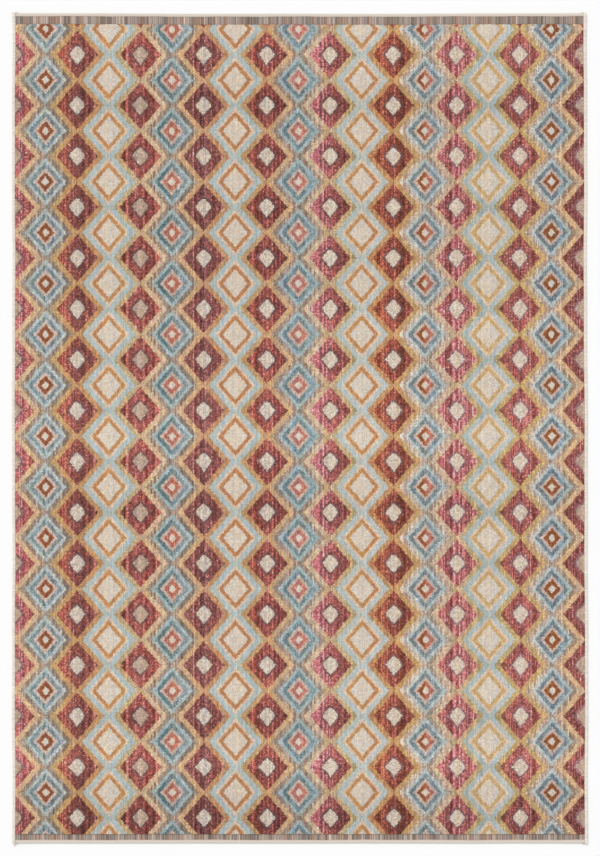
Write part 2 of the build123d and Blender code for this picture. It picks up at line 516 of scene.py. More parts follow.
@dataclass(frozen=True)
class Settling:
    """How the woven sheet departs from a true rectangle: edges that wander a little and corners that lift."""

    half_width: float = 0.8
    half_length: float = 1.155
    wander: float = 0.7 * MM
    side_waves: tuple[float, float] = (0.71, 0.29)
    end_wave: float = 0.53
    taper: float = 1.5 * MM
    head_bow: float = 2.0 * MM
    corner_lift: float = 1.6 * MM
    corner_fade: float = 50.0 * MM
    edge_lift: float = 0.5 * MM
    edge_fade: float = 30.0 * MM
    edge_waves: tuple[float, float] = (0.47, 0.61)

    def apply(self, points: Array) -> Array:
        """Move points with the sheet.

        The side edges follow two sine waves of different lengths, the right side leans out towards the foot,
        the head end bows in by a parabola, and the height rises towards corners by an exponential fall-off.

        Args:
            points: an array whose last axis is x, y, z.

        Returns:
            The moved points, in a new array.
        """
        moved = points.copy()
        x, y = points[..., 0], points[..., 1]
        across, along = x / self.half_width, y / self.half_length
        long, short = self.side_waves
        waves = np.sin(2 * pi * y / long + 1.3) + 0.6 * np.sin(2 * pi * y / short + 0.4)
        moved[..., 0] += self.wander * waves * across - self.taper * (across + 1) / 2 * np.tanh(3 * along)
        bow = self.head_bow * (across**2 - 1) * np.clip(along, 0, 1) ** 3
        moved[..., 1] += bow + 0.5 * self.wander * np.sin(2 * pi * x / self.end_wave + 2.0) * along
        to_corner = np.hypot(self.half_width - np.abs(x), self.half_length - np.abs(y))
        to_edge = np.minimum(self.half_width - np.abs(x), self.half_length - np.abs(y))
        ripple = 1 + np.sin(2 * pi * y / self.edge_waves[0] + 0.8) * np.cos(2 * pi * x / self.edge_waves[1])
        moved[..., 2] += self.corner_lift * np.exp(-to_corner / self.corner_fade)
        moved[..., 2] += 0.5 * self.edge_lift * ripple * np.exp(-np.maximum(to_edge, 0) / self.edge_fade)
        return moved


SETTLING = Settling()


# ---------------------------------------------------------------- meshes


def make_piece(
    name: str,
    points: Array,
    faces: Array,
    material: Material,
    colours: Array | None = None,
    uvs: Array | None = None,
    smooth: bool = True,
    tufts: bool = False,
) -> Piece:
    """Make an object from arrays.

    Args:
        name: the piece's name.
        points: corners of the mesh, n by 3, in metres.
        faces: quads as indices into points, m by 4.
        material: its finish.
        colours: a linear colour for each face or each face corner, kept as the attribute dye; on the pile walls
            and the serging it holds painted shade too.
        uvs: one place on the map a face corner, m by 4 by 2.
        smooth: whether faces are shaded smooth.
        tufts: whether each face is a tuft with a map of its own.

    Returns:
        The object, with its place in its mesh.
    """
    mesh = bpy.data.meshes.new(name)
    mesh.vertices.add(len(points))
    mesh.vertices.foreach_set("co", SETTLING.apply(points).astype(np.float32).ravel())
    mesh.loops.add(faces.size)
    mesh.loops.foreach_set("vertex_index", faces.astype(np.int32).ravel())
    mesh.polygons.add(len(faces))
    mesh.polygons.foreach_set("loop_start", np.arange(0, faces.size, 4, dtype=np.int32))
    mesh.polygons.foreach_set("use_smooth", np.full(len(faces), smooth))
    if colours is not None:
        layer = mesh.color_attributes.new("dye", "FLOAT_COLOR", "CORNER")
        corners = colours if colours.ndim == 3 else np.repeat(colours[:, None], 4, axis=1)
        rgba = np.concatenate([corners, np.ones((len(faces), 4, 1))], axis=2)
        layer.data.foreach_set("color", rgba.astype(np.float32).ravel())
    if uvs is not None:
        mesh.uv_layers.new(name="OFBake").data.foreach_set("uv", uvs.astype(np.float32).ravel())
    if tufts:
        spots = np.tile(np.array([0, 0, 1, 0, 1, 1, 0, 1], np.float32), len(faces))
        mesh.uv_layers.new(name="tuft").data.foreach_set("uv", spots)
    mesh.update(calc_edges=True)
    mesh.validate()
    mesh.materials.append(material)
    piece = bpy.data.objects.new(name, mesh)
    bpy.context.scene.collection.objects.link(piece)
    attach(piece, "root")
    return piece


def grid_faces(rows: int, columns: int, closed: bool) -> Array:
    """Give the quads of a grid of points stored row by row.

    Args:
        rows: number of rows of points.
        columns: number of points in a row.
        closed: whether the last point of each row joins the first.

    Returns:
        Quads, m by 4, turned so that a grid of +X rows stacked towards +Y faces +Z.
    """
    across = np.arange(columns if closed else columns - 1)
    start = np.arange(rows - 1)[:, None] * columns
    following = (across + 1) % columns
    quads = np.stack(
        [start + across, start + following, start + columns + following, start + columns + across], axis=-1
    )
    return quads.reshape(-1, 4)


def join(parts: list[tuple[Array, Array]]) -> tuple[Array, Array]:
    """Join several meshes into one.

    Args:
        parts: the points and the quads of each.

    Returns:
        All the points, and all the quads numbered on.
    """
    starts = np.cumsum([0] + [len(points) for points, _ in parts[:-1]])
    faces = [faces + start for (_, faces), start in zip(parts, starts)]
    return np.concatenate([points for points, _ in parts]), np.concatenate(faces)


# Where the hidden faces' narrow strip begins on a map, under the first lane, and how wide it is.
HIDDEN_FROM, HIDDEN_WIDTH = 0.001, 0.002


def strip_uvs(rows: int, columns: int, lanes: int) -> Array:
    """Lay a long tube or strip out on its map as several lanes, so that its length keeps a fine scale.

    Args:
        rows: number of quads along the length, a multiple of lanes.
        columns: number of quads across.
        lanes: number of lanes side by side on the map.

    Returns:
        Places on the map, one a face corner, m by 4 by 2.
    """
    row, column = np.meshgrid(np.arange(rows), np.arange(columns), indexing="ij")
    lane_length = rows // lanes
    lane, step = row // lane_length, row % lane_length
    corners = np.array([[0, 0], [1, 0], [1, 1], [0, 1]])
    u = (step[..., None] + corners[:, 1]) / lane_length
    v = (lane[..., None] + 0.04 + 0.92 * (column[..., None] + corners[:, 0]) / columns) / lanes
    return np.stack([u, v], axis=-1).reshape(-1, 4, 2)


def tube(centres: Array, radii: Array, sides: int) -> tuple[Array, Array]:
    """Carry a round section along a path, closed to a point at both ends.

    The section at each centre lies in the plane square to the path there; the first and last rings shrink
    to a point.

    Args:
        centres: the path, n by 3.
        radii: radius at each centre, n long, or n by sides for a ridged section.
        sides: points round the section.

    Returns:
        The points and the quads.
    """
    along = np.gradient(centres, axis=0)
    along /= np.linalg.norm(along, axis=1, keepdims=True)
    up = np.where(np.abs(along[:, 2:3]) > 0.9, [[1.0, 0.0, 0.0]], [[0.0, 0.0, 1.0]])
    side = np.cross(along, up)
    side /= np.linalg.norm(side, axis=1, keepdims=True)
    top = np.cross(side, along)
    turn = 2 * pi * np.arange(sides) / sides
    reach = np.array(np.broadcast_to(np.reshape(radii, (len(centres), -1)), (len(centres), sides)))
    reach[[0, -1]] = 1e-6
    ring = np.cos(turn)[None, :, None] * side[:, None] + np.sin(turn)[None, :, None] * top[:, None]
    points = centres[:, None] + reach[..., None] * ring
    return points.reshape(-1, 3), grid_faces(len(centres), sides, closed=True)


# ---------------------------------------------------------------- the weaver's design


class Figure(IntEnum):
    """The bands of the design that one yarn makes, from the middle of each figure outwards."""

    SEED = 0
    RUST_RING = 1
    IVORY_RING = 2
    SLATE_RING = 3
    SKY_RING = 4
    TAUPE_GROUND = 5
    LOZENGE = 6
    AMBER_RING = 7
    LOZENGE_RIM = 8
    SKY_ZIGZAG = 9
    EYE = 10
    HALO = 11
    WINE = 12
    GOLD = 13


@dataclass(frozen=True)
class Heather:
    """How uneven a yarn frame's colour is: shares of its brightness, and hue as a share from blue to red."""

    stripe: float
    tuft: float
    streak: float = 0.03
    abrash: float = 0.02
    hue: float = 0.2


@dataclass(frozen=True)
class YarnPlan:
    """Which two dyes a yarn frame mixes in a column: the first prevails at its left, the second at its right."""

    columns: dict[int, tuple[Dye, Dye]]
    half_span: float
    heather: Heather
    bundle: float = 8.0 * MM
    stray: float = 0.35

    def dyes_at(self, x: Array, column: Array, pitch: float, shift: float, rng: np.random.Generator) -> Array:
        """Give the linear colour of this frame's yarn at each warp.

        The share of the second dye grows evenly across the column, and each bundle of warps strays from it.

        Args:
            x: the warps' places.
            column: the number of the column that each warp belongs to.
            pitch: from one column to the next.
            shift: the place of column 0.
            rng: the source of the bundles' strays.

        Returns:
            Colours, one row a warp.
        """
        numbers = np.array(sorted(self.columns))
        first, second = (np.array([linear(self.columns[n][side].value) for n in numbers]) for side in (0, 1))
        which = np.abs(numbers[None, :] - column[:, None]).argmin(axis=1)
        share = ((x - shift - numbers[which] * pitch) / self.half_span + 1) / 2
        bundle = ((x - x[0]) / self.bundle).astype(int)
        strays = rng.uniform(-self.stray, self.stray, bundle.max() + 1)[bundle]
        mix = np.clip(share + strays, 0.0, 1.0)[:, None]
        return first[which] * (1 - mix) + second[which] * mix


HEADER_DYES = (Dye.MINK, Dye.ELEPHANT, Dye.PEBBLE, Dye.MUSHROOM, Dye.PARCHMENT, Dye.CAMEL, Dye.BISCUIT)

WINE_PLAN = YarnPlan(
    {
        -9: (Dye.ROSE, Dye.RASPBERRY), -7: (Dye.BRICK, Dye.PLUM), -5: (Dye.OXBLOOD, Dye.RASPBERRY),
        -3: (Dye.PLUM, Dye.PLUM), -1: (Dye.MADDER, Dye.MAROON), 1: (Dye.ROSE, Dye.MAROON),
        3: (Dye.TERRACOTTA, Dye.MAROON), 5: (Dye.RASPBERRY, Dye.ROSE), 7: (Dye.DUSTY_ROSE, Dye.RASPBERRY),
        9: (Dye.PLUM, Dye.RASPBERRY),
    },
    58 * MM,
    Heather(0.38, 0.46, 0.08, 0.1, 0.2),
)
GOLD_PLAN = YarnPlan(
    {
        -9: (Dye.SAND, Dye.STRAW), -7: (Dye.WHEAT, Dye.AMBER), -5: (Dye.OLIVE, Dye.SAND),
        -3: (Dye.STRAW, Dye.AMBER), -1: (Dye.OCHRE, Dye.STRAW), 1: (Dye.SAND, Dye.OLIVE),
        3: (Dye.AMBER, Dye.WHEAT), 5: (Dye.SAND, Dye.OLIVE), 7: (Dye.OLIVE, Dye.WHEAT),
        9: (Dye.STRAW, Dye.SAND),
    },
    75 * MM,
    Heather(0.13, 0.2, 0.03, 0.022, 0.28),
)
TAUPE_PLAN = YarnPlan(
    {
        -8: (Dye.FAWN, Dye.TAUPE), -4: (Dye.MOCHA, Dye.TAUPE), 0: (Dye.MOCHA, Dye.FAWN),
        4: (Dye.CHALK, Dye.FAWN), 8: (Dye.CHALK, Dye.MOCHA),
    },
    75 * MM,
    Heather(0.28, 0.22, 0.06, 0.04, 0.25),
)
SKY_RING_PLAN = YarnPlan(
    {
        -8: (Dye.SKY, Dye.DOVE), -4: (Dye.TEAL_MIST, Dye.SKY), 0: (Dye.SKY, Dye.TEAL_MIST),
        4: (Dye.DOVE, Dye.SKY), 8: (Dye.DOVE, Dye.SKY),
    },
    58 * MM,
    Heather(0.1, 0.16, 0.04, 0.03, 0.2),
)
SKY_ZIGZAG_PLAN = YarnPlan(
    {
        -6: (Dye.POWDER, Dye.SKY), -2: (Dye.POWDER, Dye.SKY), 2: (Dye.POWDER, Dye.DOVE),
        6: (Dye.TEAL_MIST, Dye.DOVE),
    },
    75 * MM,
    Heather(0.08, 0.1, 0.03, 0.025),
)
SLATE_PLAN = YarnPlan(
    {
        -8: (Dye.STEEL, Dye.SILVER), -4: (Dye.PETROL, Dye.SILVER), 0: (Dye.DENIM, Dye.STEEL),
        4: (Dye.DENIM, Dye.SILVER), 8: (Dye.NAVY, Dye.DENIM),
    },
    42 * MM,
    Heather(0.2, 0.26, 0.05, 0.045, 0.25),
)
RUST_PLAN = YarnPlan(
    {
        -8: (Dye.RUST, Dye.SIENNA), -4: (Dye.CLAY, Dye.CLAY), 0: (Dye.SALMON, Dye.SALMON),
        4: (Dye.SIENNA, Dye.CLAY), 8: (Dye.SIENNA, Dye.SIENNA),
    },
    25 * MM,
    Heather(0.18, 0.24, 0.05, 0.03),
)
AMBER_PLAN = YarnPlan(
    {
        -6: (Dye.ORANGE, Dye.AMBER_GOLD), -2: (Dye.ORANGE, Dye.ORANGE), 2: (Dye.AMBER_GOLD, Dye.ORANGE),
        6: (Dye.SAFFRON, Dye.SAFFRON),
    },
    50 * MM,
    Heather(0.09, 0.14),
)
IVORY_PLAN = YarnPlan({0: (Dye.IVORY, Dye.IVORY)}, 1.0, Heather(0.042, 0.11))
RIM_PLAN = YarnPlan({0: (Dye.BLUSH, Dye.BLUSH)}, 1.0, Heather(0.07, 0.14))
SHELL_PLAN = YarnPlan({0: (Dye.SHELL, Dye.SHELL)}, 1.0, Heather(0.1, 0.16))
# The eyes of some wine columns are woven in a darker bone yarn.
EYE_PLAN = YarnPlan(
    {
        -9: (Dye.BONE, Dye.BONE), -7: (Dye.CREAM, Dye.CREAM), -5: (Dye.BONE, Dye.BONE),
        -3: (Dye.CREAM, Dye.CREAM), 9: (Dye.BONE, Dye.BONE), 7: (Dye.CREAM, Dye.CREAM),
    },
    30 * MM,
    Heather(0.096, 0.207),
)
# Each eye has a shadow of a duller yarn than the diamond round it.
HALO_PLAN = YarnPlan(
    {
        -9: (Dye.LILAC, Dye.LILAC), -7: (Dye.DAMSON, Dye.DAMSON), 3: (Dye.DAMSON, Dye.DAMSON),
        5: (Dye.LILAC, Dye.LILAC), 9: (Dye.LILAC, Dye.LILAC),
    },
    40 * MM,
    Heather(0.22, 0.32, 0.1, 0.08),
)


@dataclass(frozen=True)
class Design:
    """The repeat: where columns and rows of figures stand and how far each band reaches from the middle."""

    pitch: float = 88.0 * MM
    repeat: float = 141.6 * MM
    swing: float = 61.0 * MM
    shift: float = -3.0 * MM
    first_row: float = 14.0 * MM
    medallion_reaches: tuple[float, ...] = (10.6 * MM, 24.0 * MM, 33.5 * MM, 47.4 * MM, 58.2 * MM)
    lozenge_reaches: tuple[float, ...] = (34.4 * MM, 47.3 * MM, 57.4 * MM)
    wine_reach: float = 57.6 * MM
    taupe_reach: float = 74.0 * MM
    sky_reach: float = 73.9 * MM
    eye_half_width: float = 22.0 * MM
    eye_top: float = 24.5 * MM
    eye_bottom: float = 27.0 * MM
    halo: float = 7.0 * MM

    def eye_reach(self, dx: Array, dy: Array) -> Array:
        """Say how far out each point is from an eye's middle, as a reach across the rug.

        The outline is a superellipse: its power is 1.25 above the middle, which swells the sides a little,
        and 1.02 below, which leaves a straight-sided point.

        Args:
            dx: across from the eye's middle.
            dy: along from it, towards the head.

        Returns:
            The half width of the eye through each point.
        """
        power = np.where(dy > 0, 1.25, 1.02)
        height = np.where(dy > 0, self.eye_top, self.eye_bottom)
        size = np.abs(dx / self.eye_half_width) ** power + np.abs(dy / height) ** power
        return self.eye_half_width * size ** (1 / power)

    def columns_at(self, x: Array) -> tuple[Array, Array, Array]:
        """Say which columns each place belongs to.

        Args:
            x: places across the rug.

        Returns:
            The distance from column 0 in pitches, the number of the nearest column of medallions or lozenges,
            an even one, and the number of the wine column there, an odd one.
        """
        across = (x - self.shift) / self.pitch
        return across, 2 * np.rint(across / 2), 2 * np.floor(across / 2) + 1

    def figures(self, x: Array, y: Array, head: float, wobble: Array, ragged: Array) -> Array:
        """Say which band of the design each point is in.

        A band's limit is a distance across the rug plus a triangle wave along it, so every edge is a zigzag
        of one slope. The wave is 0 level with the medallions and full half a repeat away, and runs the other
        way for the wine columns.

        Args:
            x: places across the rug.
            y: places along it.
            head: where the pile begins at the head end.
            wobble: how far the drawn line strays at each point, the same in every column.
            ragged: how far single tufts stray from the drawn line, in the medallions half as far again.

        Returns:
            The number of a Figure for each point.
        """
        across, figure_column, wine_column = self.columns_at(x)
        rows = (head - self.first_row - y) / self.repeat
        wave = 1 - np.abs(2 * (rows % 1) - 1)
        figure_reach = np.abs(across - figure_column) * self.pitch + self.swing * wave
        wine_reach = np.abs(across - wine_column) * self.pitch + self.swing * (1 - wave)
        figure_reach = figure_reach + wobble + ragged
        wine_reach = wine_reach - 0.6 * wobble + ragged
        medallion = np.digitize(figure_reach + 0.6 * ragged, self.medallion_reaches)
        lozenge = Figure.LOZENGE + np.digitize(figure_reach, self.lozenge_reaches)
        is_medallion = figure_column % 4 == 0
        band = np.where(is_medallion, medallion, lozenge)
        outer = np.where(is_medallion, self.taupe_reach, self.sky_reach)
        band = np.where(figure_reach > outer, Figure.GOLD, band)
        band = np.where(wine_reach < self.wine_reach, Figure.WINE, band)
        dx = (across - wine_column) * self.pitch
        dy = (np.rint(rows + 0.5) - 0.5 - rows) * self.repeat
        eye_reach = self.eye_reach(dx, dy) + 1.3 * wobble + 0.7 * ragged
        band = np.where(eye_reach < self.eye_half_width + self.halo + 2 * ragged, Figure.HALO, band)
        return np.where(eye_reach < self.eye_half_width, Figure.EYE, band)


PLANS: dict[Figure, YarnPlan] = {
    Figure.SEED: IVORY_PLAN,
    Figure.RUST_RING: RUST_PLAN,
    Figure.IVORY_RING: SHELL_PLAN,
    Figure.SLATE_RING: SLATE_PLAN,
    Figure.SKY_RING: SKY_RING_PLAN,
    Figure.TAUPE_GROUND: TAUPE_PLAN,
    Figure.LOZENGE: IVORY_PLAN,
    Figure.AMBER_RING: AMBER_PLAN,
    Figure.LOZENGE_RIM: RIM_PLAN,
    Figure.SKY_ZIGZAG: SKY_ZIGZAG_PLAN,
    Figure.EYE: EYE_PLAN,
    Figure.HALO: HALO_PLAN,
    Figure.WINE: WINE_PLAN,
    Figure.GOLD: GOLD_PLAN,
}
# The bands whose dyes go by the wine column that they are in; the others go by their figure's.
WINE_COLUMN_BANDS = (Figure.EYE, Figure.HALO, Figure.WINE, Figure.GOLD)


# ---------------------------------------------------------------- the pile

# How the logarithms of red, green and blue move together when a dye turns warmer.
WARMER = np.array([0.22, 0.0, -0.4])
# The brightest that any yarn gets, in linear light.
BRIGHTEST = 0.95


@dataclass
class Pile:
    """The cut pile: one tuft for each knot of the design, coloured by the warp that it stands on."""

    left: float
    right: float
    foot: float
    head: float
    bottom: float
    top: float
    design: Design = field(default_factory=Design)
    knots_a_pitch: int = 28
    knots_a_repeat: int = 50
    tuft_jitter: float = 0.13 * MM
    warp_jitter: float = 0.09 * MM
    ragged: float = 0.9 * MM
    wobble: float = 0.45 * MM
    tuft_stray: float = 0.3 * MM
    corner_stray: float = 0.36 * MM
    mingling: float = 0.22
    streak_tufts: int = 8
    line_cell: float = 2.2
    lean_cell: float = 4.0
    abrash_cell: float = 36.0
    gap_depth: float = 0.25 * MM
    swell: float = 0.1 * MM

    def __post_init__(self) -> None:
        """Work out the knots, the figure at each and the colour of each."""
        self.rng = np.random.default_rng(SEED)
        self.across = round((self.right - self.left) / (self.design.pitch / self.knots_a_pitch))
        self.along = round((self.head - self.foot) / (self.design.repeat / self.knots_a_repeat))
        self.x = np.linspace(self.left, self.right, self.across + 1)
        self.y = np.linspace(self.foot, self.head, self.along + 1)
        self.mid_x, self.mid_y = (self.x[1:] + self.x[:-1]) / 2, (self.y[1:] + self.y[:-1]) / 2
        grid_x, grid_y = np.meshgrid(self.mid_x, self.mid_y)
        wobble, ragged = self.strays()
        self.figure = self.design.figures(grid_x, grid_y, self.head, wobble, ragged).astype(int)
        self.colour = self.knot_colours()
        self.corner_colour = self.mingled()
        self.points = self.tuft_points()

    def smooth_noise(self, rows: int, columns: int, cell: float) -> Array:
        """Give noise that changes smoothly from knot to knot: random values on a coarse grid, blended.

        Args:
            rows: knots along.
            columns: knots across; the noise wraps round at the last.
            cell: knots between one random value and the next.

        Returns:
            Noise of about unit spread, rows by columns.
        """
        coarse_rows, coarse_columns = int(rows / cell) + 2, max(round(columns / cell), 1)
        coarse = self.rng.standard_normal((coarse_rows, coarse_columns))
        r = np.arange(rows) / cell
        c = np.arange(columns) * coarse_columns / columns
        r0, c0 = r.astype(int), c.astype(int)
        fr, fc = (r - r0)[:, None], (c - c0)[None]
        c1 = (c0 + 1) % coarse_columns
        near = coarse[r0][:, c0] * (1 - fc) + coarse[r0][:, c1] * fc
        far = coarse[r0 + 1][:, c0] * (1 - fc) + coarse[r0 + 1][:, c1] * fc
        return 1.4 * (near * (1 - fr) + far * fr)

    def strays(self) -> tuple[Array, Array]:
        """Give how far the drawn lines and the single tufts stray from the exact figures.

        Returns:
            The wobble of the drawn lines, the same for every second column, and the tufts' raggedness.
        """
        period = 2 * self.knots_a_pitch
        sheet = self.wobble * self.smooth_noise(self.along, period, self.line_cell)
        place = (self.mid_x - self.design.shift) / (2 * self.design.pitch)
        drawn = sheet[:, (place % 1 * period).astype(int)]
        return drawn, self.tuft_stray * self.rng.standard_normal(drawn.shape)

    def knot_colours(self) -> Array:
        """Give the colour of each knot: its frame's dye at that warp, made uneven in four ways.

        The stripe is a factor for each warp, the streak runs for some eight tufts along a warp, the tuft
        factor is each knot's own, and the abrash is a slow change along the rug, shared by all warps.

        Returns:
            Linear colours, along by across by 3.
        """
        shape = (self.along, self.across)
        length = self.streak_tufts
        run = np.cumsum(self.rng.standard_normal((self.along + length, self.across)), axis=0)
        streak = (run[length:] - run[:-length]) / np.sqrt(length)
        tuft = self.rng.standard_normal(shape)
        lean = 0.4 * self.rng.standard_normal(shape)
        lean += 0.3 * self.smooth_noise(self.along, self.across, self.lean_cell)
        lean += 0.7 * self.rng.standard_normal(self.across)
        abrash = self.smooth_noise(self.along, 1, self.abrash_cell)
        abrash += np.linspace(-1.0, 0.6, self.along)[:, None]
        _, figure_column, wine_column = self.design.columns_at(self.mid_x)
        colours = np.zeros((self.along, self.across, 3))
        for figure, plan in PLANS.items():
            column = wine_column if figure in WINE_COLUMN_BANDS else figure_column
            warp = plan.dyes_at(self.mid_x, column, self.design.pitch, self.design.shift, self.rng)
            uneven = plan.heather
            hue = 1 + 0.12 * uneven.stripe * self.rng.standard_normal((self.across, 3))
            stripe = uneven.stripe * np.clip(self.rng.standard_normal(self.across), -1.8, 2.2)
            spread = stripe[None] + uneven.tuft * tuft + uneven.streak * streak
            factor = np.exp(spread + uneven.abrash * abrash)
            factor /= np.exp((uneven.stripe**2 + uneven.tuft**2 + uneven.streak**2) / 2)
            here = self.figure == figure
            tint = np.exp(uneven.hue * lean[here][:, None] * WARMER)
            colours[here] = ((warp * hue)[None] * factor[..., None])[here] * tint
        return np.clip(colours, 0.0, BRIGHTEST)

    def mingled(self) -> Array:
        """Give each knot's colour at its four corners, where its fibres mingle with its neighbours'.

        Returns:
            Linear colours, along by across by 4 by 3.
        """
        padded = np.pad(self.colour, ((1, 1), (1, 1), (0, 0)), mode="edge")
        meet = (padded[1:, 1:] + padded[:-1, 1:] + padded[1:, :-1] + padded[:-1, :-1]) / 4
        corners = np.stack([meet[:-1, :-1], meet[:-1, 1:], meet[1:, 1:], meet[1:, :-1]], axis=2)
        return (1 - self.mingling) * self.colour[:, :, None] + self.mingling * corners

    def tuft_points(self) -> Array:
        """Give the corners between tufts, each at the mean height of the tufts that meet there.

        Returns:
            Points, (along + 1) by (across + 1) by 3.
        """
        raised = np.zeros(len(Figure))
        raised[[Figure.TAUPE_GROUND, Figure.SLATE_RING]] = -self.gap_depth
        raised[[Figure.LOZENGE, Figure.EYE, Figure.WINE]] = self.swell
        height = self.top + raised[self.figure]
        height += self.tuft_jitter * self.rng.standard_normal(height.shape)
        height += self.warp_jitter * self.rng.standard_normal(self.across)
        padded = np.pad(height, 1, mode="edge")
        z = (padded[1:, 1:] + padded[:-1, 1:] + padded[1:, :-1] + padded[:-1, :-1]) / 4
        grid_x, grid_y = np.meshgrid(self.x, self.y)
        stray = self.corner_stray * np.clip(self.rng.standard_normal((2, *grid_x.shape)), -2, 2)
        grid_x[:, 1:-1] += stray[0][:, 1:-1]
        grid_y[1:-1] += stray[1][1:-1]
        for row, sign in ((0, 1), (-1, -1)):
            grid_y[row] += sign * self.ragged * self.rng.random(self.across + 1)
        return np.stack([grid_x, grid_y, z], axis=-1)

    def piece(
        self, name: str, figures: tuple[Figure, ...], material: Material, part: slice = slice(None)
    ) -> Piece:
        """Make some figures' pile as one piece, with a wall down to the ground weave at the field's edge.

        Args:
            name: the piece's name.
            figures: the bands that it holds.
            material: its finish.
            part: the knots across the rug that it holds.

        Returns:
            The piece.
        """
        wanted = np.isin(self.figure, figures)
        inside = np.zeros(self.across, bool)
        inside[part] = True
        wanted &= inside
        columns = self.across + 1
        quads = grid_faces(self.along + 1, columns, closed=False)[wanted.ravel()]
        colours = self.corner_colour[wanted]
        walls, shaded_wall_colours = self.walls(wanted)
        shaded_wall_colours = np.repeat(shaded_wall_colours[:, None], 4, axis=1)
        top = self.points.reshape(-1, 3)
        below = top.copy()
        below[:, 2] = self.bottom
        faces = np.concatenate([quads, walls])
        used, packed = np.unique(faces, return_inverse=True)
        points = np.concatenate([top, below])[used]
        faces = packed.reshape(-1, 4)
        low, high = points[:, :2].min(0), points[:, :2].max(0)
        uvs = (points[faces][..., :2] - low) / (high - low)
        dyes = np.concatenate([colours, shaded_wall_colours])
        return make_piece(name, points, faces, material, dyes, uvs, smooth=False, tufts=True)

    def walls(self, wanted: Array) -> tuple[Array, Array]:
        """Give the upright faces of the chosen knots that stand on the field's edge.

        Args:
            wanted: which knots are chosen.

        Returns:
            The quads, whose lower corners are numbered on from the upper ones, and their colours: the edge
            knots' dyes darkened by painted shade.
        """
        columns = self.across + 1
        lower = (self.along + 1) * columns
        quads, colours = [], []
        for row, a_side, b_side in ((0, 1, 0), (self.along - 1, 0, 1)):
            knots = np.flatnonzero(wanted[row])
            line = (0 if row == 0 else self.along) * columns
            a, b = line + knots + a_side, line + knots + b_side
            quads.append(np.stack([a, b, b + lower, a + lower], axis=-1))
            colours.append(self.colour[row, knots])
        for column, a_side, b_side in ((0, 0, 1), (self.across - 1, 1, 0)):
            knots = np.flatnonzero(wanted[:, column])
            line = 0 if column == 0 else self.across
            a, b = (knots + a_side) * columns + line, (knots + b_side) * columns + line
            quads.append(np.stack([a, b, b + lower, a + lower], axis=-1))
            colours.append(self.colour[knots, column])
        # The upright walls get the edge knots' dyes darkened to 0.8 as painted shade.
        return np.concatenate(quads), 0.8 * np.concatenate(colours)

    def build(self) -> list[Piece]:
        """Make every piece of the pile and hide the CAD node that each is made for.

        Returns:
            The pieces.
        """
        material = PILE_YARN.build()
        half = self.across // 2
        plan = [
            ("pile_wine_left", (Figure.WINE, Figure.HALO), slice(0, half), "pile_wine", "wine_yarn"),
            ("pile_wine_right", (Figure.WINE, Figure.HALO), slice(half, None), "pile_wine", "wine_yarn"),
            ("pile_gold_lattice", (Figure.GOLD,), slice(None), "pile_gold", "gold_yarn"),
            ("pile_taupe_ground", (Figure.TAUPE_GROUND,), slice(None), "pile_taupe", "taupe_yarn"),
            ("pile_sky_rings_woven", (Figure.SKY_RING,), slice(None), "pile_sky_rings", "sky_yarn"),
            ("pile_sky_zigzags_woven", (Figure.SKY_ZIGZAG,), slice(None), "pile_sky_zigzags", "sky_yarn"),
            ("pile_slate_rings", (Figure.SLATE_RING,), slice(None), "pile_slate", "slate_yarn"),
            ("pile_rust_rings", (Figure.RUST_RING,), slice(None), "pile_rust", "rust_yarn"),
            ("pile_amber_rings", (Figure.AMBER_RING,), slice(None), "pile_amber", "amber_yarn"),
            (
                "pile_lozenges_and_eyes",
                (Figure.LOZENGE, Figure.LOZENGE_RIM, Figure.IVORY_RING, Figure.SEED, Figure.EYE),
                slice(None),
                "pile_ivory",
                "ivory_yarn",
            ),
        ]
        pieces = []
        for name, figures, part, node, slot in plan:
            piece = self.piece(name, figures, material, part)
            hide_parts(node)
            pieces.append(piece)
        return pieces


# ---------------------------------------------------------------- the flat woven ends


